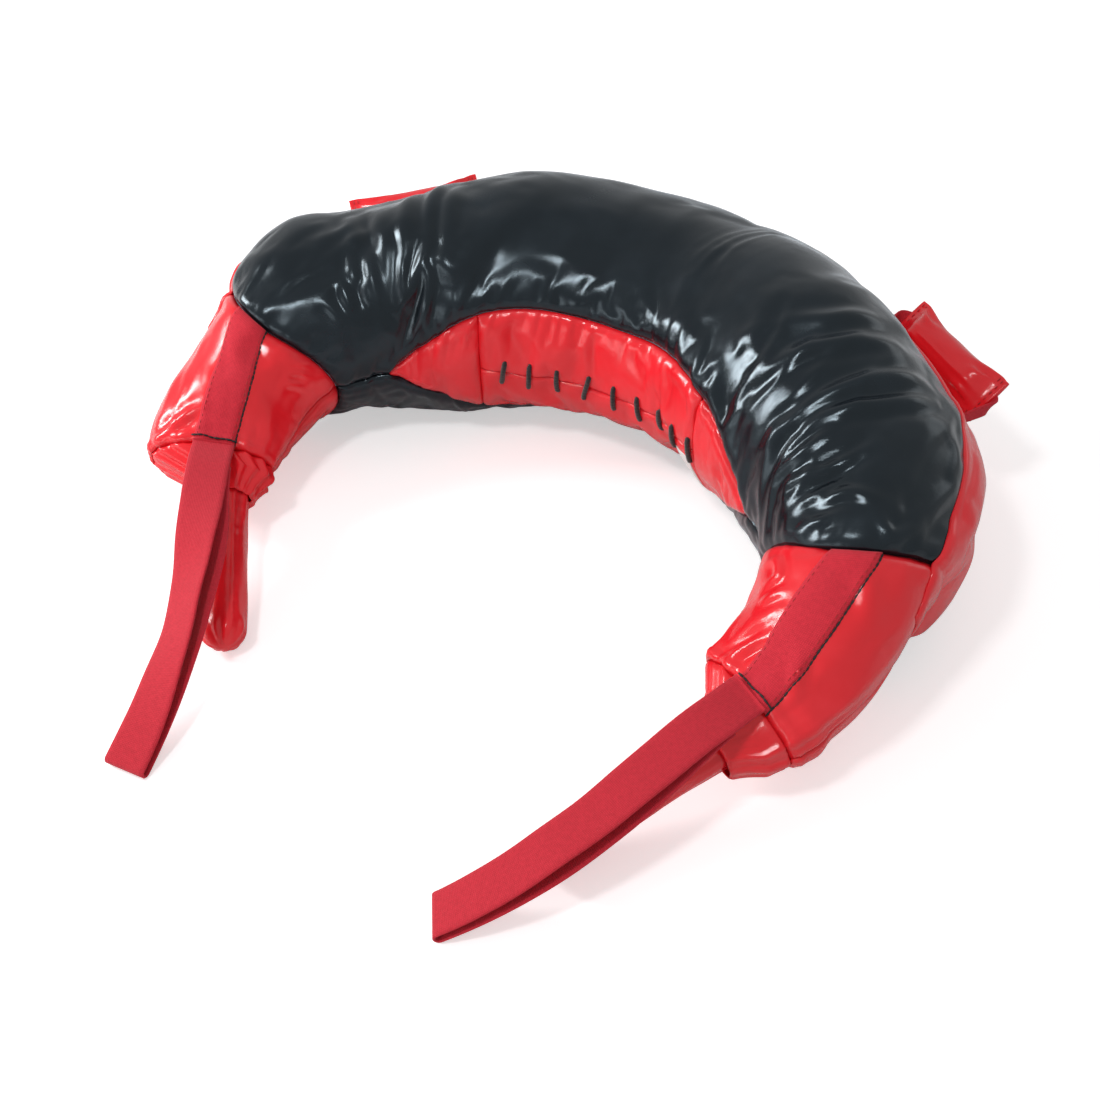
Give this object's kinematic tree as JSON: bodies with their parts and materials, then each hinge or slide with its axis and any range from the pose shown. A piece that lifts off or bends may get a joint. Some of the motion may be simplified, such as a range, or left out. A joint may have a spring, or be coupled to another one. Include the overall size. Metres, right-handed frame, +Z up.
{
  "type": "training sandbag",
  "caption": "Crescent training sandbag: a filled vinyl tube with gathered ends, padded end grips, webbing hand loops, padded roll handles on its outer wall and a laced inner mouth.",
  "frame": {"origin": "on the floor, in the middle of the flat strip that the bag rests on, below the middle of the crescent", "axes": "+Z up from the floor, +X towards the right end, -Y towards the opening of the crescent and its two ends"},
  "size_m": [0.6394, 0.6401, 0.2027],
  "materials": {
    "red_vinyl": "glossy coated cloth",
    "black_vinyl": "glossy coated cloth",
    "red_webbing": "matt woven",
    "black_cord": "braided",
    "canvas_lining": "matt woven",
    "sand_pouch_cloth": "matt woven",
    "textile_stuffing": "loose fibre",
    "grey_foam": "matt",
    "white_label": "smooth"
  },
  "bodies": {
    "bag": {"top_panel": "black_vinyl", "bottom_panel": "black_vinyl", "mouth_tongue": "black_vinyl", "outer_band": "red_vinyl", "mouth_flap_upper": "red_vinyl", "mouth_flap_lower": "red_vinyl", "mouth_lace": "black_cord", "care_label": "white_label", "padding_sleeve": "canvas_lining", "sand_pouch_middle": "sand_pouch_cloth", "sand_pouch_left": "sand_pouch_cloth", "end_stuffing_left": "textile_stuffing", "inner_gusset_left": "red_vinyl", "end_panel_upper_left": "red_vinyl", "end_panel_lower_left": "red_vinyl", "handle_patch_front_left": "red_vinyl", "handle_patch_rear_left": "red_vinyl", "strap_anchor_left": "red_webbing", "sand_pouch_right": "sand_pouch_cloth", "end_stuffing_right": "textile_stuffing", "inner_gusset_right": "red_vinyl", "end_panel_upper_right": "red_vinyl", "end_panel_lower_right": "red_vinyl", "handle_patch_front_right": "red_vinyl", "handle_patch_rear_right": "red_vinyl", "strap_anchor_right": "red_webbing"},
    "left_loop": {"hand_loop_left": "red_webbing"},
    "left_grip": {"grip_cover_left": "red_vinyl", "grip_core_left": "grey_foam"},
    "left_roll_handle": {"handle_cover_left": "red_vinyl", "handle_core_left": "grey_foam", "handle_web_left": "red_webbing"},
    "right_loop": {"hand_loop_right": "red_webbing"},
    "right_grip": {"grip_cover_right": "red_vinyl", "grip_core_right": "grey_foam"},
    "right_roll_handle": {"handle_cover_right": "red_vinyl", "handle_core_right": "grey_foam", "handle_web_right": "red_webbing"}
  },
  "joints": [
    {"name": "left_loop_hinge", "type": "hinge", "parent": "bag", "child": "left_loop", "pos_m": [-0.22263, -0.30613, 0.07723], "axis": [-0.8571, -0.4979, 0.1325], "range_deg": [0, 120]},
    {"name": "left_grip_swing", "type": "hinge", "parent": "bag", "child": "left_grip", "pos_m": [-0.21235, -0.30674, 0.04311], "axis": [0, 0, 1], "range_deg": [-20, 20]},
    {"name": "left_roll_handle_hinge", "type": "hinge", "parent": "bag", "child": "left_roll_handle", "pos_m": [-0.24944, 0.00324, 0.10313], "axis": [0.6637, 0.7462, 0.0517], "range_deg": [-35, 35]},
    {"name": "right_loop_hinge", "type": "hinge", "parent": "bag", "child": "right_loop", "pos_m": [0.23914, -0.31498, 0.07743], "axis": [-0.8917, 0.439, 0.1102], "range_deg": [0, 120]},
    {"name": "right_grip_swing", "type": "hinge", "parent": "bag", "child": "right_grip", "pos_m": [0.23707, -0.31988, 0.04311], "axis": [0, 0, 1], "range_deg": [-20, 20]},
    {"name": "right_roll_handle_hinge", "type": "hinge", "parent": "bag", "child": "right_roll_handle", "pos_m": [0.21483, 0.03529, 0.10461], "axis": [0.8002, -0.5995, -0.0179], "range_deg": [-35, 35]}
  ]
}
